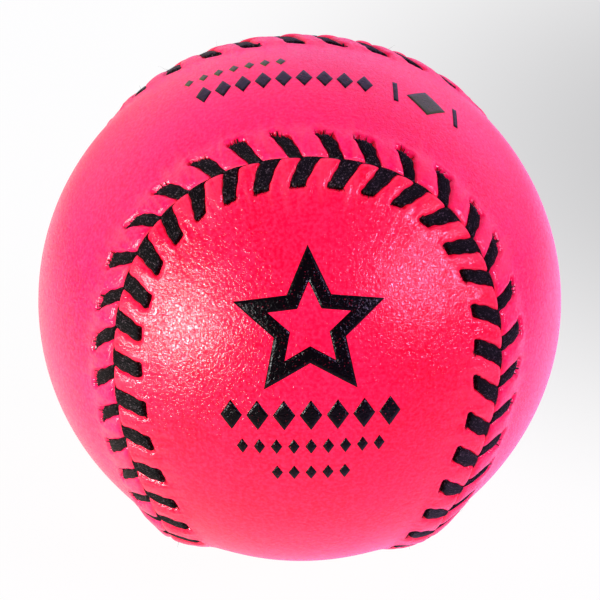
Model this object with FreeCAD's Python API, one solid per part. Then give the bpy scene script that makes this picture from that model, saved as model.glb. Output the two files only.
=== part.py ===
"""A hand-stitched leather match ball.

A cork and rubber core, three windings and an adhesive coat lie under a cover of two figure-of-eight
leather panels, which two threads close in a herringbone stitch.

Millimetres. The origin is the ball's centre. +Z goes through the middle of the side panel's neck, and
-Y through the middle of the front panel's front lobe. Each sub-part is written to parts/NODE.step.
"""
import FreeCAD
import Part

import math
import os
from bisect import bisect_right

from FreeCAD import Vector

# Layers, by outer radius
BALL_RADIUS = 31.0
LEATHER_THICKNESS = 1.5
COAT_THICKNESS = 0.3
OUTER_WINDING_THICKNESS = 2.2
MIDDLE_WINDING_THICKNESS = 5.5
INNER_WINDING_THICKNESS = 9.0
CORE_SHELL_THICKNESS = 3.0

COVER_INSIDE = BALL_RADIUS - LEATHER_THICKNESS
COAT_INSIDE = COVER_INSIDE - COAT_THICKNESS
OUTER_WINDING_INSIDE = COAT_INSIDE - OUTER_WINDING_THICKNESS
MIDDLE_WINDING_INSIDE = OUTER_WINDING_INSIDE - MIDDLE_WINDING_THICKNESS
CORE_RADIUS = MIDDLE_WINDING_INSIDE - INNER_WINDING_THICKNESS
CORK_RADIUS = CORE_RADIUS - CORE_SHELL_THICKNESS

# The seam's line on the sphere. One lap is four quarters, each the mirror image of the one before.
SEAM_REACH = 1.152  # radians the seam swings above and below the equator
SEAM_FLATTENING = -0.037  # third harmonic of that swing, radians
SEAM_WAIST = 0.395  # how far the seam draws in beside each neck, radians
SEAM_LAP = 4 * math.pi
SEAM_SAMPLES = 2880
SEAM_SPLINE_POINTS = 144
SEAM_GAP = 0.36  # slit between the two panels' edges

# Stitches
STITCH_COUNT = 72  # stations on the seam, one leg each side of every one
STATION_SHIFT = 0.25  # stitches from the front lobe's highest point back to a station
STATION_SWING = 0.7  # how far stations bunch up, to and fro, over each half lap
# Keyed by panel: 1 is the side panel and -1 the front panel
HOLE_REACH = {1: 3.6, -1: 3.6}  # from the seam out to a punched hole
HOLE_LAG = {1: 2.3, -1: 0.65}  # how far a hole trails its station, along the seam
LAG_SWING = {1: -0.3, -1: 0.45}  # how far that changes, to and fro, over each half lap
HOLE_RADIUS = 0.5
THREAD_RADIUS = 0.45  # where the thread is bunched in a hole
LEG_WIDTH = 1.9  # where the thread lies flat on the leather
LEG_THICKNESS = 0.4
LEG_LIFT = 0.02  # clearance between a leg and the leather
RUN_WIDTH = 1.5  # where the thread lies flat under the leather
TAB_THICKNESS = 0.26  # where the thread dives through the slit
TAB_START = 0.15  # a tab lies between these distances from its station, along the seam
TAB_END = 1.75

CUT_REACH = 4.0  # how far cutting tools stand above and below what they cut
INSIDE_TOLERANCE = 1e-4


def seam_direction(turn):
    """Unit vector from the ball's centre to the seam, at an angle from 0 to SEAM_LAP."""
    elevation = SEAM_REACH * math.cos(turn) + SEAM_FLATTENING * math.cos(3 * turn)
    azimuth = turn / 2 + SEAM_WAIST * math.sin(2 * turn)
    level = math.cos(elevation)
    return Vector(level * math.sin(azimuth), -level * math.cos(azimuth), math.sin(elevation))


def seam_ruler():
    """Angles round the lap, and the seam's length up to each of them on the ball's surface."""
    turns = [SEAM_LAP * i / SEAM_SAMPLES for i in range(SEAM_SAMPLES + 1)]
    lengths = [0.0]
    for a, b in zip(turns, turns[1:]):
        lengths.append(lengths[-1] + BALL_RADIUS * (seam_direction(b) - seam_direction(a)).Length)
    return turns, lengths


TURNS, LENGTHS = seam_ruler()
SEAM_LENGTH = LENGTHS[-1]
PITCH = SEAM_LENGTH / STITCH_COUNT


def seam_frame(distance):
    """(outward, along, across) unit vectors at a distance along the seam.

    Across points into the side panel.
    """
    distance %= SEAM_LENGTH
    i = min(bisect_right(LENGTHS, distance), SEAM_SAMPLES) - 1
    share = (distance - LENGTHS[i]) / (LENGTHS[i + 1] - LENGTHS[i])
    turn = TURNS[i] + share * (TURNS[i + 1] - TURNS[i])
    outward = seam_direction(turn)
    step = SEAM_LAP / SEAM_SAMPLES
    along = seam_direction(turn + step) - seam_direction(turn - step)
    along = (along - outward * along.dot(outward)).normalize()
    return outward, along, outward.cross(along)


def beside_seam(distance, offset):
    """Unit vector to the point that lies offset millimetres across from the seam."""
    outward, _, across = seam_frame(distance)
    angle = offset / BALL_RADIUS
    return outward * math.cos(angle) + across * math.sin(angle)


def sphere_shell(inside, outside):
    return Part.makeSphere(outside).cut(Part.makeSphere(inside))


def seam_wall(offset):
    """A closed ruled face through the leather, offset millimetres across from the seam."""
    low, high = COVER_INSIDE - CUT_REACH, BALL_RADIUS + CUT_REACH
    directions = [
        beside_seam(SEAM_LENGTH * i / SEAM_SPLINE_POINTS, offset) for i in range(SEAM_SPLINE_POINTS)
    ]
    edges = []
    for radius in (low, high):
        curve = Part.BSplineCurve()
        curve.interpolate(Points=[d * radius for d in directions], PeriodicFlag=True)
        edges.append(curve.toShape())
    return Part.makeRuledSurface(edges[0], edges[1])


def panel(side):
    """One leather panel: side 1 is the side panel and -1 the front panel."""
    leather = sphere_shell(COVER_INSIDE, BALL_RADIUS)
    pieces, _ = leather.generalFuse([seam_wall(side * SEAM_GAP / 2)])
    inside = Vector(0, 0, side * (COVER_INSIDE + BALL_RADIUS) / 2)
    whole = next(s for s in pieces.Solids if s.isInside(inside, INSIDE_TOLERANCE, False))
    holes = [hole_tool(side, k, HOLE_RADIUS) for k in range(STITCH_COUNT)]
    return whole.cut(Part.makeCompound(holes))


def swing(k):
    """A wave between -1 and 1 that repeats every half lap of the seam."""
    return math.sin(2 * math.tau * k / STITCH_COUNT)


def station(k):
    return (k - STATION_SHIFT) * PITCH - STATION_SWING * swing(k)


def hole_direction(side, k):
    lag = HOLE_LAG[side] + LAG_SWING[side] * swing(k)
    return beside_seam(station(k) - lag, side * HOLE_REACH[side])


def hole_tool(side, k, radius):
    """A radial cylinder through the leather at a punched hole."""
    direction = hole_direction(side, k)
    length = BALL_RADIUS + CUT_REACH - COAT_INSIDE
    return Part.makeCylinder(radius, length, direction * COAT_INSIDE, direction)


def tab_span(side, k):
    """Where along the seam a leg's tab starts and ends.

    The front panel's leg dives ahead of the side panel's.
    """
    ends = (station(k) - side * TAB_START, station(k) - side * TAB_END)
    return min(ends), max(ends)


def strap_tool(hole_side, hole_k, tab, width):
    """A prism along one flat stretch of thread, from its tab in the slit to a round end over a hole.

    The strap reaches across the slit from the hole's side as far as the tab's other face.
    """
    across_slit = -hole_side * TAB_THICKNESS / 2
    rear, front = (beside_seam(s, across_slit) * BALL_RADIUS for s in tab)
    hole = hole_direction(hole_side, hole_k) * BALL_RADIUS
    middle = (rear + front) * 0.5
    up = (middle + hole).normalize()

    def flat(point):
        return point - up * (point.dot(up) - (COAT_INSIDE - CUT_REACH))

    rear, front, hole, middle = (flat(p) for p in (rear, front, hole, middle))
    lengthwise = (hole - middle).normalize()
    sideways = up.cross(lengthwise)
    if sideways.dot(front - rear) < 0:
        sideways = sideways * -1
    half = sideways * (width / 2)
    outline = Part.Wire(
        [
            Part.makeLine(front, hole + half),
            Part.Arc(hole + half, hole + lengthwise * (width / 2), hole - half).toShape(),
            Part.makeLine(hole - half, rear),
            Part.makeLine(rear, front),
        ]
    )
    return Part.Face(outline).extrude(up * (BALL_RADIUS - COAT_INSIDE + 2 * CUT_REACH))


def tab_tool(tab):
    """A flat bar standing in the slit between two places on the seam."""
    outward, along, across = seam_frame(sum(tab) / 2)
    length = tab[1] - tab[0]
    lengthwise = along * length
    thickness = across * TAB_THICKNESS
    corner = outward * COAT_INSIDE - lengthwise * 0.5 - thickness * 0.5
    outline = [corner, corner + lengthwise, corner + lengthwise + thickness, corner + thickness, corner]
    height = BALL_RADIUS + CUT_REACH - COAT_INSIDE
    return Part.Face(Part.makePolygon(outline)).extrude(outward * height)


def under_run_tool(side, k):
    """A prism along the hidden run after a leg: under the other panel, to that panel's next hole."""
    return strap_tool(-side, k + 1, tab_span(side, k), RUN_WIDTH)


def stitch(side, k, shells):
    """One stitch: up through its hole, flat over the leather, down the slit, under to the next hole."""
    tab = tab_span(side, k)
    pieces = [
        hole_tool(side, k, THREAD_RADIUS).common(shells["leather"]),
        strap_tool(side, k, tab, LEG_WIDTH).common(shells["leg"]),
        tab_tool(tab).common(shells["leather"]),
        under_run_tool(side, k).common(shells["coat"]),
    ]
    whole = pieces[0].fuse(pieces[1:]).removeSplitter()
    return whole.Solids[0]


def thread(first_side):
    """A whole thread. Its legs lie on the two panels in turn, so that two threads fill every hole."""
    leg_foot = BALL_RADIUS + LEG_LIFT
    shells = {
        "coat": sphere_shell(COAT_INSIDE, COVER_INSIDE),
        "leather": sphere_shell(COVER_INSIDE, leg_foot),
        "leg": sphere_shell(leg_foot, leg_foot + LEG_THICKNESS),
    }
    sides = [first_side if k % 2 == 0 else -first_side for k in range(STITCH_COUNT)]
    return Part.makeCompound([stitch(side, k, shells) for k, side in enumerate(sides)])


def adhesive_coat():
    """The coat between the windings and the leather, open where the hidden runs of thread lie in it."""
    runs = [under_run_tool(side, k) for side in (-1, 1) for k in range(STITCH_COUNT)]
    return sphere_shell(COAT_INSIDE, COVER_INSIDE).cut(Part.makeCompound(runs))


def core_shell(upper):
    """Half of the moulded rubber shell round the cork."""
    reach = CORE_RADIUS + CUT_REACH
    half = Part.makeBox(2 * reach, 2 * reach, reach, Vector(-reach, -reach, 0 if upper else -reach))
    return sphere_shell(CORK_RADIUS, CORE_RADIUS).common(half)


def main():
    parts = {
        "cork_core": Part.makeSphere(CORK_RADIUS),
        "core_shell_lower": core_shell(False),
        "core_shell_upper": core_shell(True),
        "inner_winding": sphere_shell(CORE_RADIUS, MIDDLE_WINDING_INSIDE),
        "middle_winding": sphere_shell(MIDDLE_WINDING_INSIDE, OUTER_WINDING_INSIDE),
        "outer_winding": sphere_shell(OUTER_WINDING_INSIDE, COAT_INSIDE),
        "adhesive_coat": adhesive_coat(),
        "front_cover_panel": panel(-1),
        "side_cover_panel": panel(1),
        "thread_one": thread(1),
        "thread_two": thread(-1),
    }
    print(f"seam {SEAM_LENGTH:.1f} mm, stitch pitch {PITCH:.2f} mm")
    os.makedirs("parts", exist_ok=True)
    for name, shape in parts.items():
        valid = all(solid.isValid() for solid in shape.Solids)
        print(f"{name}: {len(shape.Solids)} solids, {shape.Volume:.1f} mm3, valid {valid}")
        shape.exportStep(f"parts/{name}.step")


main()
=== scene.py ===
"""The looks of a hand-stitched leather match ball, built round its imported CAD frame.

Lengths here are millimetres until make_piece turns them into metres. Near the seam a place is
(distance along the seam, offset across it, height above the ball's sphere). A panel's side is 1 for
the side panel, where offsets are positive, and -1 for the front panel.
"""
import math

import bmesh
import bpy
import numpy as np
from mathutils import Matrix, Vector
from mathutils.geometry import delaunay_2d_cdt


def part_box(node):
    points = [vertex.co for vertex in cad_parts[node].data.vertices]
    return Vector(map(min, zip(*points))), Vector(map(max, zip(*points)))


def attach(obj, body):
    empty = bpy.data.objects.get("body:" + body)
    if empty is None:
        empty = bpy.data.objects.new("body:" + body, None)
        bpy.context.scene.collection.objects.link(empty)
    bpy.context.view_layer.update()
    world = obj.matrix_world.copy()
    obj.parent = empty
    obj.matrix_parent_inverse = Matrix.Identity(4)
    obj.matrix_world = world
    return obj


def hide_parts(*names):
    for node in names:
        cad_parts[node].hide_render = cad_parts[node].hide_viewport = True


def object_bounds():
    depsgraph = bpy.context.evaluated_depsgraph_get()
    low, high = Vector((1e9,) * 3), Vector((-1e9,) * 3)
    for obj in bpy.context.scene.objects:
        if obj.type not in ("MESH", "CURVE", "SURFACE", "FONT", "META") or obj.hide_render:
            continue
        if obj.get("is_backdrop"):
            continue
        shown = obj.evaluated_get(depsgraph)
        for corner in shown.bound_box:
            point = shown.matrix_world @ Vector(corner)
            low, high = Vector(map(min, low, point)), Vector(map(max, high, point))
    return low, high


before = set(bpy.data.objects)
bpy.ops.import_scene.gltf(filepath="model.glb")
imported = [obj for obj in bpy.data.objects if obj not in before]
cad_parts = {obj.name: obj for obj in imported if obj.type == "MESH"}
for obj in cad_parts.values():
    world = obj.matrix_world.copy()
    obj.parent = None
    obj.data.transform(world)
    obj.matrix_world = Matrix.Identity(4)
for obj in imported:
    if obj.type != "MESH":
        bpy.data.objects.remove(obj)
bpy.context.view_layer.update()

MM = 0.001
RADIUS = -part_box("front_cover_panel")[0].z / MM
COVER_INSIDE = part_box("adhesive_coat")[1].z / MM
COAT_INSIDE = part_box("outer_winding")[1].z / MM
FRONT = -1
SIDE = 1
SEED = 7

# The seam's line on the sphere, as in the CAD model
SEAM_REACH = 1.152
SEAM_FLATTENING = -0.037
SEAM_WAIST = 0.395
SEAM_LAP = 4 * math.pi
SEAM_SAMPLES = 2880
STITCH_COUNT = 72
STATION_SHIFT = 0.25
STATION_SWING = 0.7

# Stitch legs, by side. A leg runs from its hole to the slit, a little bowed.
HOLE_REACH = {SIDE: 3.6, FRONT: 3.6}
HOLE_LAG = {SIDE: 2.3, FRONT: 0.65}
LAG_SWING = {SIDE: -0.3, FRONT: 0.45}
SLIT_LEAD = {SIDE: -0.75, FRONT: 0.95}  # from the station to the middle of the leg's end in the slit
LEG_HALF_WIDTHS = {SIDE: (0.85, 0.82, 0.95, 1.02), FRONT: (1.05, 1.14, 1.1, 1.0)}  # from slit to hole
END_TILT = {SIDE: (0.0, 0.24), FRONT: (-0.04, 0.09)}  # how much shorter a leg's leading edge is
SLIT_PINCH = {SIDE: 0.35, FRONT: 0.5}  # how much narrower at the slit, at most
PINCH_ONSET = (0.3, -0.8)  # cosines of the half-lap angle, between which the pinch comes on
PINCH_JITTER = 0.2
RAGGEDNESS = {SIDE: 0.34, FRONT: 0.24}  # how unevenly the strands end at the hole
SLIT_SPIKE = {SIDE: 0.25, FRONT: 1.3}  # how far a leg's leading corner runs on along the slit
LEG_THICKNESS = 0.4
LEG_BOW = 0.16
LEG_JITTER = 0.14
SLIT_JITTER = LEG_JITTER / 3
LIFT_JITTER = 0.04
STATION_JITTER = 0.16
TOP_POINTS = 21  # across a leg
WIDTH_JITTER = 0.08

# Relief of the leather beside the seam
RIDGE_HEIGHT = 0.3
LOW_RIDGE_HEIGHT = 0.65  # more of it where the seam borders the neck underneath
LOW_RIDGE_ONSET = (-0.45, -0.85)  # heights on the unit ball, between which it comes on
RIDGE_REACH = 3.4
PILLOW_HEIGHT = 0.42
PILLOW_SQUARENESS = 2.1
PILLOW_FADE = (1.5, 0.55)  # shares of a leg's reach, between which a pillow rises
PRESS_DEPTH = 0.2
PRESS_SOFTNESS = 0.12
PRESS_END = (0.1, -0.04)  # shares of a leg beyond its end, between which the press comes on
EDGE_ROUNDING = {"pillow": 0.85, "leg": 0.3}
EDGE_DROP = 0.5
DIMPLE_DEPTH = 0.42
DIMPLE_RADIUS = 0.34
RIM_HEIGHT = 0.1
RIM_DISTANCE = 0.85
RIM_WIDTH = 0.35 * RIM_DISTANCE
HOLE_SHARE = 0.75  # a hole's length as a share of its leg's width
LEG_SEARCH = range(-2, 4)  # the legs that can lie near a point, counted from its station
LEG_FOLLOWED = 1.25  # share of a leg up to which its line is followed

# The panels' mesh
SLIT_HALF_WIDTH = 0.03
FINE_COLUMNS = 32  # to a stitch
FINE_REACH = 4.7
FINE_ROWS = 23
ROW_CROWDING = 1.35
COARSER_ROWS = ((2, (4.98, 5.34)), (4, (5.85, 6.6, 7.6)))  # (step in columns, offsets)
INSIDE_SPACING = 0.72
BORDER_GAP = 0.55 * INSIDE_SPACING


def unit(vectors):
    return vectors / np.linalg.norm(vectors, axis=-1, keepdims=True)


def smooth(low, high, values):
    """0 below low, 1 above high, and a smooth step between. Low may be the larger one."""
    share = np.clip((values - low) / (high - low), 0, 1)
    return share * share * (3 - 2 * share)


def bernstein(share, controls):
    """A cubic through the first and last of four control values."""
    a, b, c, d = controls
    rest = 1 - share
    return a * rest**3 + 3 * b * share * rest**2 + 3 * c * share**2 * rest + d * share**3


# ---- The seam ----


def seam_direction(turn):
    elevation = SEAM_REACH * np.cos(turn) + SEAM_FLATTENING * np.cos(3 * turn)
    azimuth = turn / 2 + SEAM_WAIST * np.sin(2 * turn)
    level = np.cos(elevation)
    return np.stack([level * np.sin(azimuth), -level * np.cos(azimuth), np.sin(elevation)], -1)


TURNS = np.linspace(0, SEAM_LAP, SEAM_SAMPLES + 1)
STEPS = RADIUS * np.linalg.norm(np.diff(seam_direction(TURNS), axis=0), axis=1)
LENGTHS = np.concatenate([[0], np.cumsum(STEPS)])
SEAM_LENGTH = LENGTHS[-1]
PITCH = SEAM_LENGTH / STITCH_COUNT


def seam_frame(distance):
    """(outward, along, across) unit vectors. Across points into the side panel."""
    turn = np.interp(distance % SEAM_LENGTH, LENGTHS, TURNS)
    step = SEAM_LAP / SEAM_SAMPLES
    outward = seam_direction(turn)
    along = seam_direction(turn + step) - seam_direction(turn - step)
    along = unit(along - outward * (along * outward).sum(-1, keepdims=True))
    return outward, along, np.cross(outward, along)


def seam_place(directions):
    """Distance along the seam and signed offset across it, for unit directions from the ball's centre."""
    outward, along, across = seam_frame(LENGTHS[:-1])
    nearest = np.concatenate([(part @ outward.T).argmax(1) for part in np.array_split(directions, 40)])
    ahead = (directions * along[nearest]).sum(1)
    offset = np.arcsin((directions * across[nearest]).sum(1))
    return LENGTHS[nearest] + RADIUS * ahead, RADIUS * offset


def wrap(distance):
    return (distance + SEAM_LENGTH / 2) % SEAM_LENGTH - SEAM_LENGTH / 2


# ---- Where every leg lies ----


HALF_LAP_ANGLES = 4 * math.pi * np.arange(STITCH_COUNT) / STITCH_COUNT


def leg_layout(side, station, random):
    """Arrays over the stations, of where one side's legs lie and how wide they are."""

    def jitter(size):
        return random.uniform(-size, size, STITCH_COUNT)

    pinch = SLIT_PINCH[side] * (smooth(*PINCH_ONSET, np.cos(HALF_LAP_ANGLES)) + jitter(PINCH_JITTER))
    return {
        "hole": station - HOLE_LAG[side] - LAG_SWING[side] * np.sin(HALF_LAP_ANGLES) + jitter(LEG_JITTER),
        "reach": HOLE_REACH[side] + jitter(LEG_JITTER),
        "slit": station + SLIT_LEAD[side] * (1 - pinch) + jitter(SLIT_JITTER),
        "bow": jitter(LEG_BOW),
        "width": 1 + jitter(WIDTH_JITTER),
        "tilt": random.uniform(*END_TILT[side], STITCH_COUNT),
        "pinch": pinch,
        "ragged": random.uniform(0, RAGGEDNESS[side], (STITCH_COUNT, TOP_POINTS)),
        "lift": jitter(LIFT_JITTER),
        "phase": jitter(math.pi),
    }


RANDOM = np.random.default_rng(SEED)
STATIONS = (np.arange(STITCH_COUNT) - STATION_SHIFT) * PITCH - STATION_SWING * np.sin(HALF_LAP_ANGLES)
STATIONS = STATIONS + RANDOM.uniform(-STATION_JITTER, STATION_JITTER, STITCH_COUNT)
LAYOUT = {side: leg_layout(side, STATIONS, RANDOM) for side in (SIDE, FRONT)}


def leg_centre(side, k, share):
    """Distance along the seam of leg k's middle line. Share is 0 at the slit and 1 at the hole."""
    legs = LAYOUT[side]
    straight = legs["slit"][k] + wrap(legs["hole"][k] - legs["slit"][k]) * share
    return straight + legs["bow"][k] * np.sin(math.pi * share)


def leg_half_width(side, k, share):
    legs = LAYOUT[side]
    unpinched = 1 - legs["pinch"][k] * smooth(0.5, 0.0, share)
    return unpinched * legs["width"][k] * bernstein(np.clip(share, 0, 1), LEG_HALF_WIDTHS[side])


# ---- Relief of the leather ----


def from_hole(side, k, distance, reach):
    """Distance to the slot that leg k comes out of, which is as tilted as the leg's end."""
    legs = LAYOUT[side]
    half = HOLE_SHARE * leg_half_width(side, k, np.ones(distance.shape))
    run, fall = 2 * half, -legs["tilt"][k] * legs["reach"][k]
    ahead = wrap(distance - leg_centre(side, k, 1.0)) + half
    beyond = reach - legs["reach"][k]
    share = np.clip((ahead * run + beyond * fall) / (run**2 + fall**2), 0, 1)
    return np.hypot(ahead - share * run, beyond - share * fall)


def around_legs(side, distance, reach):
    """How points lie to the nearest legs.

    Returns the distances along the seam to a leg's edge behind and ahead, how far past the nearest
    leg's end they are as a share of the leg (negative beside it), and the distance to the nearest hole.
    """
    nearest = np.floor(distance / PITCH + 0.5).astype(int)
    behind, ahead, hole, edge_beside = (np.full(distance.shape, PITCH) for _ in range(4))
    beyond = np.ones(distance.shape)
    for step in LEG_SEARCH:
        k = (nearest + step) % STITCH_COUNT
        share = np.clip(reach / LAYOUT[side]["reach"][k], 0, LEG_FOLLOWED)
        away = wrap(distance - leg_centre(side, k, share))
        half_width = leg_half_width(side, k, share)
        edge = np.abs(away) - half_width
        behind = np.where((away >= 0) & (edge < behind), edge, behind)
        ahead = np.where((away < 0) & (edge < ahead), edge, ahead)
        leading = (1 + np.clip(away / half_width, -1, 1)) / 2
        past_end = share - 1 + LAYOUT[side]["tilt"][k] * leading
        beyond = np.where(edge < edge_beside, past_end, beyond)
        edge_beside = np.minimum(edge, edge_beside)
        hole = np.minimum(hole, from_hole(side, k, distance, reach))
    return behind, ahead, beyond, hole


def ridge(outward_z, reach):
    """The broad swelling along the seam."""
    low = LOW_RIDGE_HEIGHT * smooth(*LOW_RIDGE_ONSET, outward_z)
    return (RIDGE_HEIGHT + low) * np.exp(-((reach / RIDGE_REACH) ** 2))


def rolled_edge(reach, rounding):
    """How far the panel's edge drops as it turns down into the slit."""
    inside = np.clip(1 - reach / rounding, 0, 1)
    return EDGE_DROP * (1 - np.sqrt(1 - inside**2))


def leather_relief(side, distance, reach):
    """Height of the leather above the sphere, reach millimetres from the seam."""
    behind, ahead, beyond, hole = around_legs(side, distance, reach)
    outward_z = seam_frame(distance)[0][:, 2]
    share = reach / HOLE_REACH[side]

    # Leather swells between two legs, most in the middle of the gap
    gap = np.maximum(behind, 0) + np.maximum(ahead, 0)
    skew = np.clip((np.maximum(behind, 0) - np.maximum(ahead, 0)) / np.maximum(gap, 0.01), -1, 1)
    bulge = np.sqrt(1 - np.abs(skew) ** PILLOW_SQUARENESS)
    between = np.where((behind > 0) & (ahead > 0), bulge, 0)
    pillow = PILLOW_HEIGHT * between * smooth(*PILLOW_FADE, share)

    # Under a leg it gives way, and it dips into the hole
    pressed = smooth(PRESS_SOFTNESS, -PRESS_SOFTNESS, np.minimum(behind, ahead))
    pressed = pressed * smooth(*PRESS_END, beyond)
    dimple = DIMPLE_DEPTH * np.exp(-((hole / DIMPLE_RADIUS) ** 3))
    rim = RIM_HEIGHT * np.exp(-(((hole - RIM_DISTANCE) / RIM_WIDTH) ** 2))
    rounding = EDGE_ROUNDING["leg"] + (EDGE_ROUNDING["pillow"] - EDGE_ROUNDING["leg"]) * between
    height = ridge(outward_z, reach) + pillow - PRESS_DEPTH * pressed - dimple + rim * (1 - pressed)
    return height - rolled_edge(reach, rounding)


UNEVENNESS = 0.07
UNEVEN_WAVES = 9
UNEVEN_RATES = (3, 9)
UNEVEN_FLOOR = -0.8  # height below which it fades out


def undulation(directions):
    """A hand-made ball's slight unevenness, the same for every piece that lies on it."""
    random = np.random.default_rng(SEED + 1)
    height = np.zeros(len(directions))
    for _ in range(UNEVEN_WAVES):
        wave = unit(random.normal(size=3)) * random.uniform(*UNEVEN_RATES)
        height += np.sin(directions @ wave + random.uniform(0, 2 * math.pi))
    return UNEVENNESS * height / math.sqrt(UNEVEN_WAVES)


def place(distance, offset, height):
    """Points in space. The arrays share one shape, or can be stretched to one."""
    distance, offset, height = np.broadcast_arrays(distance, offset, height)
    outward, _, across = seam_frame(distance)
    angle = (offset / RADIUS)[..., None]
    directions = outward * np.cos(angle) + across * np.sin(angle)
    uneven = undulation(directions.reshape(-1, 3)).reshape(height.shape)
    uneven = uneven * smooth(COVER_INSIDE - RADIUS, UNEVEN_FLOOR, height)
    return directions * (RADIUS + height + uneven)[..., None]


# ---- Meshes ----


def put(name, data):
    """A new object in the scene."""
    made = bpy.data.objects.new(name, data)
    bpy.context.scene.collection.objects.link(made)
    return made


def make_piece(name, points, faces, material, slot_name, replaced=()):
    """Puts a closed mesh on the ball, in the row's frame. Returns the mesh."""
    mesh = bpy.data.meshes.new(name)
    mesh.from_pydata((np.asarray(points) * MM).tolist(), [], faces)
    mesh.polygons.foreach_set("use_smooth", [True] * len(mesh.polygons))
    mesh.validate()
    mesh.materials.append(material)
    point_outwards(mesh)
    piece = put(name, mesh)
    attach(piece, "root")
    if replaced:
        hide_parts(*replaced)
    return mesh


def point_outwards(mesh):
    """Turns every face of a closed mesh outwards."""
    shell = bmesh.new()
    shell.from_mesh(mesh)
    bmesh.ops.recalc_face_normals(shell, faces=shell.faces)
    shell.to_mesh(mesh)
    shell.free()


def set_attribute(mesh, name, kind, key, values):
    attribute = mesh.attributes.new(name, kind, "POINT")
    attribute.data.foreach_set(key, values.astype(np.float32).ravel())


def joined(shapes):
    """(points, faces) of several shapes as one."""
    points, faces, count = [], [], 0
    for made, made_faces in shapes:
        points.append(made)
        faces += [tuple(i + count for i in face) for face in made_faces]
        count += len(made)
    return np.concatenate(points), faces


def zip_rings(fine, coarse):
    """Triangles between closed rings of point numbers. The first has a whole multiple of the second's."""
    ratio = len(fine) // len(coarse)
    middle = ratio // 2
    faces = []
    for i, here in enumerate(coarse):
        there = coarse[(i + 1) % len(coarse)]
        run = [fine[(i * ratio + j) % len(fine)] for j in range(ratio + 1)]
        corners = [here] * middle + [there] * (ratio - middle)
        faces += [(corner, a, b) for corner, a, b in zip(corners, run, run[1:])]
        faces.append((here, run[middle], there))
    return faces


def join_rows(first, second):
    """Quads between two closed rings of point numbers, of the same length."""
    ahead = list(range(1, len(first))) + [0]
    return [(first[i], first[j], second[j], second[i]) for i, j in enumerate(ahead)]


# ---- Leather panels ----


def panel_rows():
    """(offset from the seam, columns) of each row of points, from the slit inwards."""
    columns = FINE_COLUMNS * STITCH_COUNT
    shares = np.arange(FINE_ROWS) / (FINE_ROWS - 1)
    rows = [(SLIT_HALF_WIDTH + FINE_REACH * share**ROW_CROWDING, columns) for share in shares]
    for step, offsets in COARSER_ROWS:
        rows += [(offset, columns // step) for offset in offsets]
    return rows


def fibonacci_directions(spacing):
    """Unit vectors spread evenly over the sphere, about spacing apart on the ball."""
    count = int(4 * math.pi * RADIUS**2 / (spacing**2 * math.sqrt(3) / 2))
    i = np.arange(count) + 0.5
    height = 1 - 2 * i / count
    turn = math.pi * (1 + math.sqrt(5)) * i
    level = np.sqrt(1 - height**2)
    return np.stack([level * np.cos(turn), level * np.sin(turn), height], -1)


def flatten(directions, side):
    """Stereographic map of a panel. The pole it leaves out is in the middle of the other panel's neck."""
    return directions[:, :2] / (1 + side * directions[:, 2:])


def fill_inside(border, inside, side):
    """Triangles over (border, then inside) directions, all within the border."""
    flat = [Vector(p) for p in flatten(np.concatenate([border, inside]), side)]
    loop = list(range(len(border)))
    result = delaunay_2d_cdt(flat, [], [loop], 1, 1e-9)
    original = [sources[0] for sources in result[3]]
    return [tuple(original[i] for i in face) for face in result[2]]


def cover_panel(side, node, material):
    """One leather panel as a closed shell: the relief outside, the slit's wall, and the smooth inside."""
    points, rings, faces = [], [], []

    def lay(made):
        """Adds points, and returns their numbers."""
        first = sum(len(some) for some in points)
        points.append(made)
        return list(range(first, first + len(made)))

    for reach, columns in panel_rows():
        distance = np.arange(columns) * SEAM_LENGTH / columns
        height = leather_relief(side, distance, np.full(columns, reach))
        rings.append(lay(place(distance, side * reach, height)))
    for outer, inner in zip(rings, rings[1:]):
        same = len(outer) == len(inner)
        faces += join_rows(outer, inner) if same else zip_rings(outer, inner)

    # Beyond the last row, whose reach and distances hold from here on
    candidates = fibonacci_directions(INSIDE_SPACING)
    _, offset = seam_place(candidates)
    inside = candidates[side * offset > reach + BORDER_GAP]
    border = unit(place(distance, side * reach, 0.0))
    beyond = fill_inside(border, inside, side)
    inside_distance, inside_offset = seam_place(inside)
    relief = leather_relief(side, inside_distance, side * inside_offset)
    numbers = rings[-1] + lay(inside * (RADIUS + relief + undulation(inside))[:, None])
    faces += [tuple(numbers[i] for i in face) for face in beyond]

    # The inside surface, and the wall of the slit
    lining = []
    for offset in (SLIT_HALF_WIDTH, 0.5 * reach, reach):
        lining.append(lay(unit(place(distance, side * offset, 0.0)) * COVER_INSIDE))
    faces += zip_rings(rings[0], lining[0])
    for outer, inner in zip(lining, lining[1:]):
        faces += join_rows(outer, inner)
    numbers = lining[-1] + lay(inside * COVER_INSIDE)
    faces += [tuple(numbers[i] for i in reversed(face)) for face in beyond]

    name = node + "_leather"
    mesh = make_piece(name, np.concatenate(points), faces, material, "pink_leather", [node])
    mark_edges(mesh, side)


EDGE_FADE = (0.2, 0.05)  # offsets from the seam, between which the cut edge comes on
LEG_CLEARANCE = (0.0, 0.25)  # and distances from a leg


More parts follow.
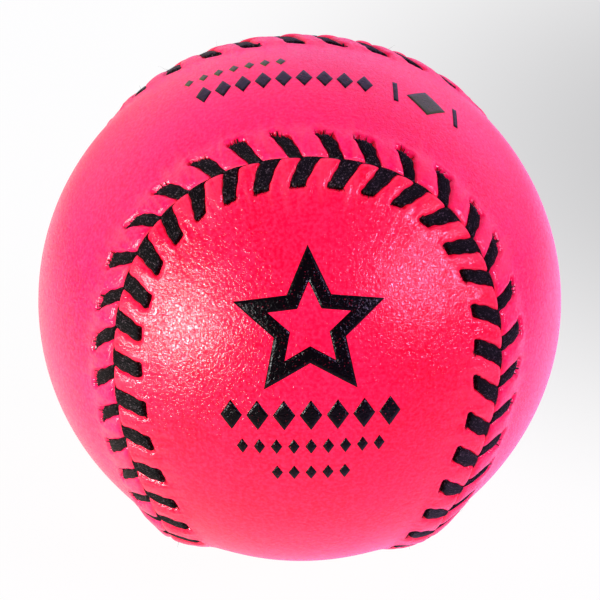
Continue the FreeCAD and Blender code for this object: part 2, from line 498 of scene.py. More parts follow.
def mark_edges(mesh, side):
    """Attributes for the leather's material.

    "edge" is 1 on the panel's cut edge between the legs, and fades away from it; the leather paints a pale
    line there, partly the cut edge's own paler colour and partly a painted highlight. "at_seam" has the seam
    rolled up into a circle in X and Y, and the reach from it in Z.
    """
    points = np.empty(len(mesh.vertices) * 3, np.float32)
    mesh.vertices.foreach_get("co", points)
    points = points.reshape(-1, 3)
    distance, offset = seam_place(unit(points))
    behind, ahead, _, _ = around_legs(side, distance, np.abs(offset))
    edge = smooth(*EDGE_FADE, np.abs(offset)) * smooth(*LEG_CLEARANCE, np.minimum(behind, ahead))
    set_attribute(mesh, "edge", "FLOAT", "value", edge)
    turn = 2 * math.pi * distance / SEAM_LENGTH
    circle = SEAM_LENGTH / (2 * math.pi)
    at_seam = np.stack([circle * np.cos(turn), circle * np.sin(turn), np.abs(offset)], -1)
    set_attribute(mesh, "at_seam", "FLOAT_VECTOR", "vector", at_seam)


# ---- Threads ----

BOTTOM_POINTS = 5
SECTION_POWERS = (3, 0.6)  # of the flat section's outline
STRANDS = 7
STRAND_RIPPLE = 0.03
STRAND_SLANT = 1.5  # radians over a leg's length
POST_RADIUS = 0.42
POST_ROWS = 5
POST_TOP = -0.95  # a post spreads into the flat leg above this height
SPREADING = 0.3  # how round the thread still is halfway
HOLE_BEND = 0.3
SLIT_BEND = 0.3
SLIT_OVERSHOOT = 0.1  # how far a leg passes the seam's line before it dives
BEND_ROWS = 4
LEG_ROWS = 18
TAB_HALF_THICKNESS = 0.13
TAB_ROWS = 2
RUN_HALF_WIDTH = 0.75
RUN_HALF_THICKNESS = 0.12
RUN_ROWS = 4
RUN_HEIGHT = (COVER_INSIDE + COAT_INSIDE) / 2 - RADIUS
EDGE_WOBBLE = 0.07
WOBBLE_RATE = 13  # radians over a leg's length
RAGGED_FROM = 0.7  # share of a leg's length


def section():
    """Outlines of a thread's section, as unit (across, up) points: spread flat, and bunched round."""
    top = np.linspace(1, -1, TOP_POINTS)
    bottom = np.linspace(-1, 1, BOTTOM_POINTS + 2)[1:-1]
    across = np.concatenate([top, bottom])
    up = (1 - np.abs(across) ** SECTION_POWERS[0]) ** SECTION_POWERS[1]
    up[TOP_POINTS:] *= -1
    turn_top = np.linspace(0, math.pi, TOP_POINTS)
    turn_bottom = np.linspace(math.pi, 2 * math.pi, BOTTOM_POINTS + 2)[1:-1]
    turn = np.concatenate([turn_top, turn_bottom])
    return np.stack([across, up], -1), np.stack([np.cos(turn), np.sin(turn)], -1)


FLAT_SECTION, ROUND_SECTION = section()


def leg_path(side, k):
    """Rows of (reach, height, lean, roundness) from under the hole to the slit's foot.

    Lean is the turn of the thread's upper face, from facing away from the seam (0) through outwards
    (a right angle) to facing across the slit.
    """
    legs = LAYOUT[side]
    reach = legs["reach"][k]
    outward_z = seam_frame(np.array([legs["slit"][k]]))[0][0, 2]

    def crest(offset):
        return ridge(outward_z, offset) - PRESS_DEPTH + LEG_THICKNESS / 2 + legs["lift"][k]

    rows = [(reach, z, 0.0, 1.0) for z in np.linspace(RUN_HEIGHT, POST_TOP, POST_ROWS)]
    rows.append((reach, (POST_TOP + crest(reach) - HOLE_BEND) / 2, 0.0, SPREADING))
    for share in np.arange(BEND_ROWS + 1) / (BEND_ROWS + 1):
        lean = share * math.pi / 2
        offset = reach - HOLE_BEND * (1 - math.cos(lean))
        rows.append((offset, crest(offset) - HOLE_BEND * (1 - math.sin(lean)), lean, 0.0))
    for offset in np.linspace(reach - HOLE_BEND, SLIT_BEND - SLIT_OVERSHOOT, LEG_ROWS):
        rows.append((offset, crest(offset), math.pi / 2, 0.0))
    for share in np.arange(1, BEND_ROWS + 1) / BEND_ROWS:
        lean = (1 + share) * math.pi / 2
        offset = SLIT_BEND * (1 + math.cos(lean)) - SLIT_OVERSHOOT
        rows.append((offset, crest(offset) - SLIT_BEND * (1 - math.sin(lean)), lean, 0.0))
    for z in np.linspace(rows[-1][1], RUN_HEIGHT, TAB_ROWS + 2)[1:-1]:
        rows.append((0.0, z, math.pi, 0.0))
    return np.array(rows)


def leg_rows(side, k):
    """Points (distance, offset, height) of a stitch's rows over the leather, and their share of the leg."""
    legs = LAYOUT[side]
    reach, height, lean, roundness = leg_path(side, k).T[:, :, None]
    share = reach / legs["reach"][k]
    across = FLAT_SECTION[:, 0] * (1 - roundness) + ROUND_SECTION[:, 0] * roundness
    up = FLAT_SECTION[:, 1] * (1 - roundness) + ROUND_SECTION[:, 1] * roundness

    # Strands run along the top, a little aslant
    top = np.arange(len(FLAT_SECTION)) < TOP_POINTS
    strands = np.cos(math.pi * STRANDS * FLAT_SECTION[:, 0] + legs["phase"][k] + STRAND_SLANT * share)
    ripple = STRAND_RIPPLE / LEG_THICKNESS * 2 * strands * top
    up = up + ripple * (1 - FLAT_SECTION[:, 0] ** 4) * (1 - roundness)

    in_slit = smooth(0.5 * SLIT_BEND, -SLIT_OVERSHOOT, reach)
    half_width = leg_half_width(side, k, share) * (1 - roundness) + POST_RADIUS * roundness
    wobble = np.sin(WOBBLE_RATE * share + legs["phase"][k] + 2 * np.sign(FLAT_SECTION[:, 0]))
    half_width = half_width * (1 + EDGE_WOBBLE * wobble * (1 - roundness))
    half_thickness = LEG_THICKNESS / 2 + (POST_RADIUS - LEG_THICKNESS / 2) * roundness
    half_thickness = half_thickness + (TAB_HALF_THICKNESS - half_thickness) * in_slit

    # The post turns by half a turn on its way up, so that the same face is up on every leg
    post = np.arange(len(reach)) < POST_ROWS
    twist = np.where(post, math.pi * (1 - np.arange(len(reach)) / (POST_ROWS - 1)), 0)[:, None]
    aside, away = half_width * across, half_thickness * up
    turned_aside = aside * np.cos(twist) - away * np.sin(twist)
    turned_away = aside * np.sin(twist) + away * np.cos(twist)
    distance = leg_centre(side, k, share) + side * turned_aside

    # The leading corner runs on along the slit, and the end at the hole is aslant and ragged
    leading = (1 + side * FLAT_SECTION[:, 0]) / 2
    distance = distance + SLIT_SPIKE[side] * leading**3 * in_slit
    shortened = reach * (1 - legs["tilt"][k] * leading * np.clip(share, 0, 1) ** 2 * (1 - roundness))
    ragged = np.concatenate([legs["ragged"][k], np.zeros(BOTTOM_POINTS)])
    shortened = shortened - ragged * smooth(RAGGED_FROM, 1.0, share) * (1 - roundness)
    offset = side * (shortened + turned_away * np.cos(lean))
    return distance, offset, height + turned_away * np.sin(lean), np.broadcast_to(share, distance.shape)


def run_rows(side, k):
    """Points of the hidden run that follows a leg, under the other panel to that panel's next hole."""
    ahead = (k + 1) % STITCH_COUNT
    start, end = LAYOUT[side]["slit"][k], LAYOUT[-side]["hole"][ahead]
    share = (np.arange(RUN_ROWS) + 0.5)[:, None] / RUN_ROWS
    middle = start + wrap(end - start) * share
    offset = -side * LAYOUT[-side]["reach"][ahead] * share
    distance = middle + side * RUN_HALF_WIDTH * FLAT_SECTION[:, 0]
    height = RUN_HEIGHT + RUN_HALF_THICKNESS * FLAT_SECTION[:, 1]
    offset, height = np.broadcast_arrays(offset, height)
    return distance, offset, height, np.zeros(distance.shape)


def ribbon(first_side):
    """Points, faces and (strand, share of the leg) of one whole thread, which closes on itself."""
    rows = []
    for k in range(STITCH_COUNT):
        side = first_side if k % 2 == 0 else -first_side
        rows += [leg_rows(side, k), run_rows(side, k)]
    distance, offset, height, share = (np.concatenate([r[i] for r in rows]) for i in range(4))
    points = place(distance, offset, height)
    rings = np.arange(distance.size).reshape(distance.shape).tolist()
    faces = []
    for here, there in zip(rings, rings[1:] + rings[:1]):
        faces += join_rows(here, there)
    strand = np.broadcast_to(FLAT_SECTION[:, 0], share.shape)
    fibre = np.stack([strand, share], -1)
    return points.reshape(-1, 3), faces, fibre.reshape(-1, 2)


# ---- Loose fibres at the holes ----

FRAY_SIDES = 5
FRAY_ROWS = 6
FRAY_COUNT = 7  # to a leg
FRAY_RADIUS = 0.11
FRAY_SIZES = (0.6, 1.2)
FRAY_TAPER = 0.85
FRAY_LENGTHS = (0.3, 0.85)
FRAY_ARCHES = (0.05, 0.16)
FRAY_ROOT = 0.5  # how far back in the leg it starts
FRAY_DIP = 0.35  # how far it follows the leather down
FRAY_SPREAD = 0.85
FRAY_CLEARANCE = 0.03
HAIR_SHARE = 0.45  # of legs that have one
HAIR_RADIUS = 0.015
HAIR_RISES = (0.25, 1.1)
HAIR_BEND = 1.6
HAIR_SPREAD = 0.8


def tube(spine, radii):
    """Points and faces of a closed tapering tube along a line of points."""
    steps = unit(np.gradient(spine, axis=0))
    sideways = unit(np.cross(steps, unit(spine)))
    upwards = np.cross(sideways, steps)
    turn = np.arange(FRAY_SIDES) * 2 * math.pi / FRAY_SIDES
    cosine, sine = np.cos(turn)[None, :, None], np.sin(turn)[None, :, None]
    ring = cosine * sideways[:, None] + sine * upwards[:, None]
    points = (spine[:, None] + ring * radii[:, None, None]).reshape(-1, 3)
    rings = np.arange(len(points)).reshape(-1, FRAY_SIDES).tolist()
    faces = []
    for here, there in zip(rings, rings[1:]):
        faces += join_rows(here, there)
    faces += [tuple(rings[0]), tuple(rings[-1][::-1])]
    return points, faces


def fray_spine(side, k, random):
    """A strand that fans out of a leg's end, over the leather beyond the hole."""
    legs = LAYOUT[side]
    share = np.linspace(0, 1, FRAY_ROWS)
    fan = random.uniform(-1, 1)
    length = random.uniform(*FRAY_LENGTHS)
    half_width = LEG_HALF_WIDTHS[side][-1]
    aside = FRAY_SPREAD * fan * half_width + fan * length * 0.5 * share**1.4
    leading = (1 + fan) / 2
    start = legs["reach"][k] * (1 - legs["tilt"][k] * leading) - FRAY_ROOT
    reach = start + (FRAY_ROOT + length * (1 - 0.4 * fan**2)) * share
    distance = leg_centre(side, k, 1.0) + aside + random.uniform(-0.1, 0.1) * share
    relief = leather_relief(side, distance, reach)
    arch = random.uniform(*FRAY_ARCHES) * np.sin(math.pi * share)
    height = np.maximum(relief, relief.max() - FRAY_DIP) + FRAY_CLEARANCE + arch
    return place(distance, side * reach, height)


def hair_spine(side, k, random):
    """A fine hair that stands off a leg."""
    share = np.linspace(0, 1, FRAY_ROWS)
    start = random.uniform(0.1, 1)
    bend = random.uniform(-HAIR_BEND, HAIR_BEND, 2)
    rise = random.uniform(*HAIR_RISES)
    root = leg_centre(side, k, start) + random.uniform(-HAIR_SPREAD, HAIR_SPREAD)
    distance = root + bend[0] * share**1.5
    reach = np.abs(LAYOUT[side]["reach"][k] * start + bend[1] * share**2)
    height = leather_relief(side, distance, reach) + 0.1 + rise * share * (1.6 - 0.8 * share)
    return place(distance, side * reach, height)


def loose_fibres(first_side, random):
    """Points and faces of a thread's frayed ends and hairs."""
    tubes = []
    taper = 1 - FRAY_TAPER * np.linspace(0, 1, FRAY_ROWS) ** 1.5
    for k in range(STITCH_COUNT):
        side = first_side if k % 2 == 0 else -first_side
        for _ in range(FRAY_COUNT):
            spine = fray_spine(side, k, random)
            tubes.append(tube(spine, FRAY_RADIUS * random.uniform(*FRAY_SIZES) * taper))
        if random.uniform() < HAIR_SHARE:
            tubes.append(tube(hair_spine(side, k, random), HAIR_RADIUS * taper))
    return joined(tubes)


def thread(node, first_side, material):
    """A whole thread with its loose fibres, in place of its CAD node."""
    random = np.random.default_rng(SEED + first_side + 10)
    points, faces, fibre = ribbon(first_side)
    points, faces = joined([(points, faces), loose_fibres(first_side, random)])
    mesh = make_piece(node + "_fibres", points, faces, material, "black_thread", [node])
    fibre = np.concatenate([fibre, np.zeros((len(points) - len(fibre), 2))])
    set_attribute(mesh, "strand", "FLOAT", "value", fibre[:, 0])
    set_attribute(mesh, "run", "FLOAT", "value", fibre[:, 1])


# ---- Prints ----
# Plain generic shapes. A print's places are (right, up) millimetres over the leather from its centre.

INK_SINK = 0.02
INK_PROUD = 0.03
PRINT_STEP = 0.5  # between points along a printed shape
FRONT_PRINT = {"azimuth": -0.55, "elevation": 26.6, "turn": 2.4}  # degrees
NECK_PRINT = {"azimuth": 0.0, "elevation": 90.0, "turn": 0.0}
STAR_RADIUS = 9.4
STAR_WAIST = 0.47
STAR_STROKE = 1.75


def print_frame(azimuth, elevation, turn):
    """(outward, right, up) at a print's centre."""
    azimuth, elevation, turn = (math.radians(a) for a in (azimuth, elevation, turn))
    right = np.array([math.cos(azimuth), math.sin(azimuth), 0.0])
    level = np.array([math.sin(azimuth), -math.cos(azimuth), 0.0])
    outward = level * math.cos(elevation) + np.array([0.0, 0.0, math.sin(elevation)])
    up = np.cross(outward, right)
    return outward, right * math.cos(turn) + up * math.sin(turn), up * math.cos(turn) - right * math.sin(turn)


def over_leather(places, frame_axes, height):
    """Points in space for a print's places, at a height over the leather."""
    outward, right, up = frame_axes
    distance = np.linalg.norm(places, axis=-1, keepdims=True)
    heading = (places[..., :1] * right + places[..., 1:] * up) / np.maximum(distance, 1e-9)
    directions = outward * np.cos(distance / RADIUS) + heading * np.sin(distance / RADIUS)
    uneven = undulation(directions.reshape(-1, 3)).reshape(distance.shape)
    return directions * (RADIUS + uneven + height)


def slab(grid, frame_axes, closed=False):
    """A thin closed film of ink over a (rows, columns) grid of places. A closed grid's rows run round."""
    rows, columns = grid.shape[:2]
    over = over_leather(grid, frame_axes, INK_PROUD).reshape(-1, 3)
    under = over_leather(grid, frame_axes, -INK_SINK).reshape(-1, 3)
    faces = []
    for i in range(rows if closed else rows - 1):
        for j in range(columns - 1):
            a, b = i * columns + j, (i + 1) % rows * columns + j
            faces += [(a, a + 1, b + 1, b), tuple(p + len(over) for p in (b, b + 1, a + 1, a))]
    numbers = np.arange(rows * columns).reshape(rows, columns)
    near, far, left, right = (n.tolist() for n in (numbers[0], numbers[-1], numbers[:, 0], numbers[:, -1]))
    if closed:
        loops = [left + left[:1], right + right[:1]]
    else:
        loops = [left + far[1:] + right[-2::-1] + near[-2::-1]]
    for loop in loops:
        faces += [(a, b, b + len(over), a + len(over)) for a, b in zip(loop, loop[1:])]
    return np.concatenate([over, under]), faces


def patch(corners):
    """A grid of places over a four-cornered shape."""
    a, b, c, d = (np.array(corner, float) for corner in corners)
    across = max(2, int(np.linalg.norm(b - a) / PRINT_STEP) + 2)
    along = max(2, int(np.linalg.norm(d - a) / PRINT_STEP) + 2)
    u = np.linspace(0, 1, across)[None, :, None]
    v = np.linspace(0, 1, along)[:, None, None]
    return (a * (1 - u) + b * u) * (1 - v) + (d * (1 - u) + c * u) * v


def lozenge(right, up, width, height):
    half_width, half_height = width / 2, height / 2
    top, bottom = (right, up + half_height), (right, up - half_height)
    return patch([top, (right + half_width, up), bottom, (right - half_width, up)])


def bar(right, up, width, height):
    left, low = right - width / 2, up - height / 2
    return patch([(left, low), (left + width, low), (left + width, low + height), (left, low + height)])


def row_of(shape, count, left, right, up, width, height):
    return [shape(x, up, width, height) for x in np.linspace(left, right, count)]


def star_outline(radius, stroke):
    """A closed grid across the outline of a five-pointed star."""
    turn = math.pi / 2 + np.arange(10) * math.pi / 5
    reach = radius * np.where(np.arange(10) % 2 == 0, 1.0, STAR_WAIST)
    outer = np.stack([np.cos(turn) * reach, np.sin(turn) * reach], -1)
    edges = unit(np.roll(outer, -1, 0) - outer)
    inward = np.stack([-edges[:, 1], edges[:, 0]], -1)
    before = np.roll(inward, 1, 0)
    mitre = (inward + before) / (1 + (inward * before).sum(1, keepdims=True))
    inner = outer + stroke * mitre
    steps = int(np.linalg.norm(outer[1] - outer[0]) / PRINT_STEP)
    share = (np.arange(steps) / steps)[None, :, None]

    def walked(corners):
        ahead = np.roll(corners, -1, 0)
        return (corners[:, None] * (1 - share) + ahead[:, None] * share).reshape(-1, 1, 2)

    across = np.linspace(0, 1, 5)[None, :, None]
    return walked(outer) * (1 - across) + walked(inner) * across


def prints(black, olive):
    """Sizes are (right, up, width, height), or for a row (count, left, right, up, width, height)."""
    front, neck = print_frame(**FRONT_PRINT), print_frame(**NECK_PRINT)
    star = slab(star_outline(STAR_RADIUS, STAR_STROKE), front, True)
    make_piece("front_star", *star, black, "print_ink")
    rows = row_of(lozenge, 7, -9.6, 9.6, -10.9, 2.7, 3.9)
    rows += row_of(lozenge, 9, -8.4, 8.4, -15.1, 1.4, 2.1)
    rows += row_of(lozenge, 5, -4.2, 4.2, -18.9, 1.4, 2.1)
    make_piece("front_row", *joined([slab(grid, front) for grid in rows]), black, "print_ink")
    dark = row_of(lozenge, 9, -12.6, 6.6, -0.5, 2.0, 3.6)
    dark += [bar(10.4, -0.4, 0.6, 4.2), bar(18.4, -0.4, 0.6, 4.2)]
    make_piece("neck_row", *joined([slab(grid, neck) for grid in dark]), black, "print_ink")
    light = row_of(lozenge, 7, -14.4, -3.2, 3.8, 1.2, 1.9)
    light += [lozenge(14.4, -0.4, 5.2, 5.2)]
    make_piece("neck_marks", *joined([slab(grid, neck) for grid in light]), olive, "green_ink")


# ---- Materials ----


def add(tree, kind, inputs=(), **settings):
    """A shader node. Inputs are set to values or linked to other nodes' outputs."""
    made = tree.nodes.new("ShaderNode" + kind)
    for name, value in settings.items():
        setattr(made, name, value)
    for name, value in dict(inputs).items():
        if isinstance(value, bpy.types.NodeSocket):
            tree.links.new(value, made.inputs[name])
        else:
            made.inputs[name].default_value = value
    return made


def begin(name):
    """An empty material, its node tree, and coordinates that count millimetres."""
    material = bpy.data.materials.new(name)
    material.use_nodes = True
    tree = material.node_tree
    tree.nodes.clear()
    coordinates = add(tree, "TexCoord")
    inputs = {0: coordinates.outputs["Object"], 1: (1 / MM,) * 3}
    scaled = add(tree, "VectorMath", inputs, operation="MULTIPLY")
    return material, tree, scaled.outputs[0]


def surfaced(material, tree, inputs):
    """The material, finished with a principled shader."""
    shader = add(tree, "BsdfPrincipled", inputs)
    add(tree, "OutputMaterial", {"Surface": shader.outputs[0]})
    return material


def colour(red, green, blue):
    return (red, green, blue, 1.0)


def noise(tree, vector, scale, detail=2.0, roughness=0.5, distortion=0.0):
    inputs = {"Vector": vector, "Scale": scale, "Detail": detail}
    inputs.update({"Roughness": roughness, "Distortion": distortion})
    return add(tree, "TexNoise", inputs).outputs["Fac"]


def ranged(tree, value, low, high, to_low=0.0, to_high=1.0):
    inputs = {"Value": value, "From Min": low, "From Max": high, "To Min": to_low, "To Max": to_high}
    return add(tree, "MapRange", inputs).outputs[0]


def blend_colours(tree, factor, first, second):
    made = add(tree, "Mix", {0: factor, 6: first, 7: second}, data_type="RGBA")
    return made.outputs[2]


def maths(tree, operation, first, second):
    return add(tree, "Math", {0: first, 1: second}, operation=operation).outputs[0]


def bump(tree, height, depth, normal=None):
    """Depth is in millimetres."""
    inputs = {"Height": height, "Strength": 1.0, "Distance": depth * MM}
    if normal is not None:
        inputs["Normal"] = normal
    return add(tree, "Bump", inputs).outputs[0]


GRAIN_PITCH = 0.48
GRAIN_DEPTH = 0.075
WRINKLE_DEPTH = 0.06
PULL_DEPTH = 0.11
PULL_FADE = (3.5, 14.0)  # reach from the seam over which the pull of the stitches dies away


def pull(tree):
    """Height of the wrinkles square to the seam, where the stitches pull at the leather."""
    place_at_seam = add(tree, "Attribute", attribute_name="at_seam").outputs["Vector"]
    reach = add(tree, "SeparateXYZ", {"Vector": place_at_seam}).outputs["Z"]
    stretched = add(tree, "VectorMath", {0: place_at_seam, 1: (1.0, 1.0, 0.18)}, operation="MULTIPLY")
    folds = noise(tree, stretched.outputs[0], 0.75, 2.0, 0.55, 0.4)
    return maths(tree, "MULTIPLY", folds, ranged(tree, reach, *PULL_FADE, 1.0, 0.0))


def grain(tree, vector, under=None):
    """The crinkled grain that the leather and the ink on it share."""
    wrinkles = bump(tree, noise(tree, vector, 0.55, 2.0, 0.5, 1.2), WRINKLE_DEPTH, under)
    folds = noise(tree, vector, 1 / GRAIN_PITCH, 1.5, 0.6, 1.5)
    cells = {"Vector": vector, "Scale": 0.9 / GRAIN_PITCH, "Randomness": 1.0}
    creases = add(tree, "TexVoronoi", cells, feature="DISTANCE_TO_EDGE").outputs["Distance"]
    height = maths(tree, "ADD", folds, ranged(tree, creases, 0.0, 0.16, 0.0, 0.2))
    return bump(tree, height, GRAIN_DEPTH, wrinkles)


def pink_leather(name, deep, light, speck):
    """Dyed with a fluorescent pink, whose red glow is painted in as a constant emission that keeps it bright
    in shade. The dye is lighter in specks, and lighter on the crests of the pull folds, partly as stretched
    leather and partly as a painted highlight.
    """
    material, tree, vector = begin(name)
    patches = ranged(tree, noise(tree, vector, 0.12, 3.0), 0.35, 0.65)
    dye = blend_colours(tree, patches, deep, light)
    specks = ranged(tree, noise(tree, vector, 2.4, 2.0), 0.38, 0.68, 0.0, 0.55)
    dye = blend_colours(tree, specks, dye, speck)
    edge = add(tree, "Attribute", attribute_name="edge").outputs["Fac"]
    # A pale line painted along the cut edge: partly the cut edge's own paler colour, partly a painted
    # highlight where the rolled edge catches light
    dye = blend_colours(tree, maths(tree, "MULTIPLY", edge, 0.15), dye, colour(1.0, 0.42, 0.42))
    pulled = pull(tree)
    # Painted highlight on the crests of the pull folds: partly the lighter tone of stretched leather, partly
    # painted light that makes the folds show
    dye = blend_colours(tree, ranged(tree, pulled, 0.4, 0.62, 0.0, 0.38), dye, colour(1.0, 0.09, 0.17))
    inputs = {
        "Base Color": dye,
        "Roughness": ranged(tree, noise(tree, vector, 1.4), 0.3, 0.7, 0.12, 0.2),
        "Specular IOR Level": 0.5,
        "Sheen Weight": 0.2,
        "Sheen Roughness": 0.3,
        "Sheen Tint": colour(1.0, 0.05, 1.0),
        # Painted glow: a constant red emission, lit by no lamp, stands in for the dye's fluorescence and
        # keeps the red bright in shade
        "Emission Color": colour(1.0, 0.0, 0.012),
        "Emission Strength": 0.42,
        "Normal": grain(tree, vector, bump(tree, pulled, PULL_DEPTH)),
    }
    return surfaced(material, tree, inputs)


def ink(name, tone, worn_tone):
    material, tree, vector = begin(name)
    worn = ranged(tree, noise(tree, vector, 5.0, 3.0), 0.66, 0.74)
    inputs = {
        "Base Color": blend_colours(tree, maths(tree, "MULTIPLY", worn, 0.5), tone, worn_tone),
        "Roughness": 0.22,
        "Specular IOR Level": 0.25,
        "Normal": grain(tree, vector),
    }
    return surfaced(material, tree, inputs)


def black_thread():
    """Waxed multi-filament thread: fine fibres along it, and pale specks, partly lint and partly painted
    glints.
    """
    material, tree, vector = begin("black_waxed_thread")
    strand = add(tree, "Attribute", attribute_name="strand").outputs["Fac"]
    run = add(tree, "Attribute", attribute_name="run").outputs["Fac"]
    across = maths(tree, "MULTIPLY", strand, 5.0)
    along = add(tree, "CombineXYZ", {"X": across, "Y": maths(tree, "MULTIPLY", run, 2.5)})
    fibres = noise(tree, along.outputs[0], 1.0, 3.0, 0.75, 0.6)
    # Pale specks painted on the thread: partly lint, partly painted glints like those the fibres catch from
    # the softboxes
    lint_and_glint_specks = ranged(tree, noise(tree, vector, 4.5, 2.0, 0.7), 0.59, 0.65)
    tone = blend_colours(tree, fibres, colour(0.0005, 0.0003, 0.0005), colour(0.003, 0.0015, 0.0025))
    tone = blend_colours(tree, maths(tree, "MULTIPLY", lint_and_glint_specks, 0.35), tone, colour(0.42, 0.3, 0.34))
    inputs = {
        "Base Color": tone,
        "Roughness": ranged(tree, fibres, 0.2, 0.8, 0.28, 0.5),
        "Specular IOR Level": 0.14,
        "Normal": bump(tree, fibres, 0.3),
    }
    return surfaced(material, tree, inputs)


def cork():
    material, tree, vector = begin("granulated_cork")
    granules = add(tree, "TexVoronoi", {"Vector": vector, "Scale": 0.7})
    edges = add(tree, "TexVoronoi", {"Vector": vector, "Scale": 0.7}, feature="DISTANCE_TO_EDGE")
    tint = add(tree, "SeparateColor", {"Color": granules.outputs["Color"]}).outputs[0]
    tone = blend_colours(tree, tint, colour(0.36, 0.2, 0.09), colour(0.66, 0.44, 0.25))
    gap = ranged(tree, edges.outputs["Distance"], 0.0, 0.08)
    tone = blend_colours(tree, gap, colour(0.08, 0.05, 0.035), tone)
    inputs = {"Base Color": tone, "Roughness": 0.85, "Normal": bump(tree, gap, 0.15)}
    return surfaced(material, tree, inputs)


def moulded(name, low, high, roughness, scale, depth):
    """Rubber or dried latex, with a slight mottle."""
    material, tree, vector = begin(name)
    mottle = noise(tree, vector, scale, 4.0)
    inputs = {
        "Base Color": blend_colours(tree, mottle, low, high),
        "Roughness": roughness,
        "Normal": bump(tree, mottle, depth),
    }
    return surfaced(material, tree, inputs)


def wound_yarn(name, low, high, strand_width):
    """Yarn wound in several directions, with twist and fluff."""
    material, tree, vector = begin(name)
    layers = []
    for tilt in ((0.4, 0.2, 0.0), (1.9, 0.9, 0.5), (0.9, 2.2, 1.3)):
        turned = add(tree, "VectorRotate", {"Vector": vector, "Rotation": tilt}, rotation_type="EULER_XYZ")
        scale = 1 / (3.1 * strand_width)
        inputs = {"Vector": turned.outputs[0], "Scale": scale, "Distortion": 1.2, "Detail": 2.0}
        layers.append(add(tree, "TexWave", inputs).outputs["Fac"])
    crossing = ranged(tree, noise(tree, vector, 0.16), 0.42, 0.5)
    height = add(tree, "Mix", {0: crossing, 2: layers[0], 3: layers[1]}).outputs[0]
    crossing = ranged(tree, noise(tree, vector, 0.21), 0.5, 0.56)
    height = add(tree, "Mix", {0: crossing, 2: height, 3: layers[2]}).outputs[0]
    fluff = noise(tree, vector, 4.0, 4.0, 0.7)
    height = maths(tree, "ADD", height, maths(tree, "MULTIPLY", fluff, 0.3))
    inputs = {
        "Base Color": blend_colours(tree, height, low, high),
        "Roughness": 0.9,
        "Sheen Weight": 0.3,
        "Normal": bump(tree, height, 0.35 * strand_width),
    }
    return surfaced(material, tree, inputs)


def dress_inner_nodes():
    """The layers under the leather keep their CAD shapes, and get their materials."""
    rubber = moulded("moulded_rubber", colour(0.018, 0.018, 0.02), colour(0.05, 0.05, 0.052), 0.6, 1.2, 0.05)
    latex = moulded("dried_latex", colour(0.62, 0.5, 0.3), colour(0.84, 0.74, 0.55), 0.35, 0.5, 0.08)
    materials = {
        "cork_core": cork(),
        "core_shell_lower": rubber,
        "core_shell_upper": rubber,
        "inner_winding": wound_yarn("grey_wool", colour(0.12, 0.12, 0.125), colour(0.42, 0.42, 0.43), 1.3),
        "middle_winding": wound_yarn("cream_wool", colour(0.4, 0.35, 0.27), colour(0.82, 0.77, 0.66), 1.0),
        "outer_winding": wound_yarn("white_cotton", colour(0.5, 0.48, 0.43), colour(0.9, 0.88, 0.83), 0.5),
        "adhesive_coat": latex,
    }
    for node, material in materials.items():
        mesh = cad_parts[node].data
        mesh.materials.clear()
        mesh.materials.append(material)


# ---- Studio ----

CAMERA_AZIMUTH = -3.1
CAMERA_ELEVATION = 32.0
CAMERA_ROLL = 2.3
CAMERA_DISTANCE = 1.2
FRAME_FILL = 0.871  # the ball's share of the frame's width
SENSOR = 36.0
FLOOR_HALF_SIDE = 3.0
SHADOW = (75.0, 85.0)  # middle of the soft shade on the table
SHADOW_FADE = (15.0, 95.0)  # distances from there, over which it fades out
SHADE = (0.585, 0.585, 0.59)
TABLE_SEEN = 0.97  # the table's and the tent's strength in the picture, apart from how they light the ball
TENT_SEEN = 0.92
LIT_TABLE = (95.0, 210.0)  # distances from the ball, over which the table's light fades out
FRONT_TABLE = (-75.0, 15.0, 0.45, 1.35)  # its Y from and to, and strengths there
FAR_TABLE = (150.0, 320.0)  # its Y from and to, over which the light comes back behind the ball
TABLE_REST = 0.06
PAPER_SHARE = 0.03  # how much the table shows of the light that falls on it
TENT_LIGHT = (-0.4, 0.45, 1.1, 0.04)  # cosine of the angle to the camera from and to, and strengths there
COOL = (0.78, 0.54, 1.0)  # the light's tint at the right and above, and elsewhere
NEUTRAL = (0.72, 0.62, 0.57)
COOL_SIDE = (0.75, 0.35, 0.55)  # towards the tent's cool side
COOL_TABLE = (-25.0, 30.0)  # the table's X from and to, over which the tint changes


def direction_at(azimuth, elevation):
    """Unit vector at an azimuth from -Y towards +X, and an elevation, in degrees."""
    azimuth, elevation = math.radians(azimuth), math.radians(elevation)
    level = math.cos(elevation)
    return Vector((level * math.sin(azimuth), -level * math.cos(azimuth), math.sin(elevation)))


def aim(thing, azimuth, elevation, distance, roll=0.0):
    """Puts a camera or light at that direction from the ball's centre, looking at it."""
    towards = direction_at(azimuth, elevation)
    turn = towards.to_track_quat("Z", "Y").to_matrix() @ Matrix.Rotation(math.radians(roll), 3, "Z")
    thing.matrix_world = Matrix.Translation(towards * distance) @ turn.to_4x4()


def camera():
    data = bpy.data.cameras.new("camera")
    made = put("camera", data)
    aim(made, CAMERA_AZIMUTH, CAMERA_ELEVATION, CAMERA_DISTANCE, CAMERA_ROLL)
    limb = math.tan(math.asin(RADIUS * MM / CAMERA_DISTANCE))
    data.sensor_width = SENSOR
    data.lens = SENSOR * FRAME_FILL / (2 * limb)
    bpy.context.scene.camera = made


def softbox(name, azimuth, elevation, distance, size, power, tint=(1.0, 1.0, 1.0)):
    data = bpy.data.lights.new(name, "AREA")
    data.color = tint
    data.shape = "DISK"
    data.size = size
    data.energy = power
    aim(put(name, data), azimuth, elevation, distance)


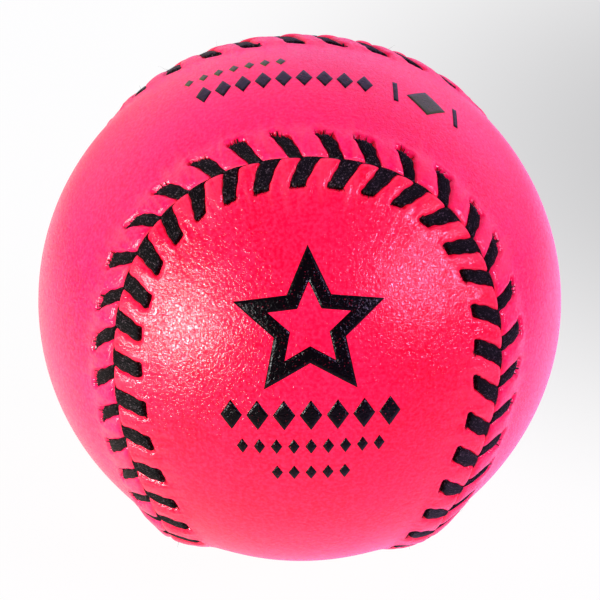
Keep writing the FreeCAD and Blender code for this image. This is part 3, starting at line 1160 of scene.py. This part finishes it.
def surroundings():
    """A tent round the ball, white to the camera, that lights the ball least from where the camera is."""
    world = bpy.data.worlds.new("tent")
    bpy.context.scene.world = world
    world.use_nodes = True
    tree = world.node_tree
    tree.nodes.clear()
    direction = add(tree, "TexCoord").outputs["Generated"]
    opening = tuple(direction_at(CAMERA_AZIMUTH, CAMERA_ELEVATION))
    facing = add(tree, "VectorMath", {0: direction, 1: opening}, operation="DOT_PRODUCT").outputs["Value"]
    level = ranged(tree, facing, *TENT_LIGHT)
    seen = add(tree, "LightPath").outputs["Is Camera Ray"]
    strength = add(tree, "Mix", {0: seen, 2: level, 3: TENT_SEEN}).outputs[0]
    cool_side = tuple(Vector(COOL_SIDE).normalized())
    cool = add(tree, "VectorMath", {0: direction, 1: cool_side}, operation="DOT_PRODUCT").outputs["Value"]
    unseen = blend_colours(tree, ranged(tree, cool, -0.5, 0.3), colour(*NEUTRAL), colour(*COOL))
    tone = blend_colours(tree, seen, unseen, colour(1.0, 1.0, 1.0))
    background = add(tree, "Background", {"Color": tone, "Strength": strength})
    add(tree, "OutputWorld", {"Surface": background.outputs[0]})


def floor():
    """A pale light table that the ball rests on."""
    half = FLOOR_HALF_SIDE / MM
    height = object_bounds()[0].z / MM
    corners = [(-half, -half), (half, -half), (half, half), (-half, half)]
    mesh = bpy.data.meshes.new("floor")
    mesh.from_pydata([(x * MM, y * MM, height * MM) for x, y in corners], [], [(0, 1, 2, 3)])
    material, tree, vector = begin("pale_floor")
    middle = {0: vector, 1: (*SHADOW, height)}
    from_shadow = add(tree, "VectorMath", middle, operation="DISTANCE").outputs["Value"]
    inputs = {"Value": from_shadow, "From Min": SHADOW_FADE[0], "From Max": SHADOW_FADE[1]}
    lit_share = add(tree, "MapRange", inputs, interpolation_type="SMOOTHSTEP").outputs[0]
    shown = blend_colours(tree, lit_share, colour(*SHADE), colour(1.0, 1.0, 1.0))

    # The ball is lit by the nearest part of the table, least from the front, and by its far end behind
    parts = add(tree, "SeparateXYZ", {"Vector": vector})
    to_right = ranged(tree, parts.outputs["X"], *COOL_TABLE)
    cast = blend_colours(tree, to_right, colour(*NEUTRAL), colour(*COOL))
    away = add(tree, "VectorMath", {0: vector}, operation="LENGTH").outputs["Value"]
    from_front = ranged(tree, parts.outputs["Y"], *FRONT_TABLE)
    near = maths(tree, "MULTIPLY", ranged(tree, away, *LIT_TABLE, 1.0, TABLE_REST), from_front)
    near_and_far = maths(tree, "ADD", near, ranged(tree, parts.outputs["Y"], *FAR_TABLE))
    seen = add(tree, "LightPath").outputs["Is Camera Ray"]
    strength = add(tree, "Mix", {0: seen, 2: near_and_far, 3: TABLE_SEEN}).outputs[0]
    tone = blend_colours(tree, seen, cast, shown)
    glow = add(tree, "Emission", {"Color": tone, "Strength": strength}).outputs[0]
    paper = add(tree, "BsdfDiffuse", {"Color": tone}).outputs[0]
    lit = add(tree, "AddShader", {0: glow, 1: paper}).outputs[0]
    mixed = add(tree, "MixShader", {0: PAPER_SHARE, 1: glow, 2: lit})
    add(tree, "OutputMaterial", {"Surface": mixed.outputs[0]})
    mesh.materials.append(material)
    put("floor", mesh)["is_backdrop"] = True


def main():
    front_dye = colour(1.0, 0.002, 0.045), colour(1.0, 0.006, 0.07), colour(1.0, 0.045, 0.16)
    # The side panel's copy of the dye is more magenta than the front's: a painted tint that stands for the
    # cooler, more magenta light on the ball's rims, which lie mostly on that panel
    side_dye_painted_cool = colour(1.0, 0.004, 0.1), colour(1.0, 0.009, 0.145), colour(1.0, 0.05, 0.26)
    front = pink_leather("pink_leather_front", *front_dye)
    side = pink_leather("pink_leather_side_painted_cool", *side_dye_painted_cool)
    cover_panel(FRONT, "front_cover_panel", front)
    cover_panel(SIDE, "side_cover_panel", side)
    waxed = black_thread()
    thread("thread_one", SIDE, waxed)
    thread("thread_two", FRONT, waxed)
    worn = colour(0.8, 0.02, 0.08)
    black = ink("black_ink", colour(0.002, 0.001, 0.002), worn)
    olive = ink("olive_ink", colour(0.07, 0.11, 0.03), worn)
    prints(black, olive)
    dress_inner_nodes()
    floor()
    camera()
    softbox("softbox_left", -55.5, 8, 1.0, 0.36, 11.5)
    softbox("softbox_right", 59.4, 26, 1.0, 0.29, 6.4, COOL)
    surroundings()
    bpy.context.scene.view_settings.view_transform = "Standard"


main()
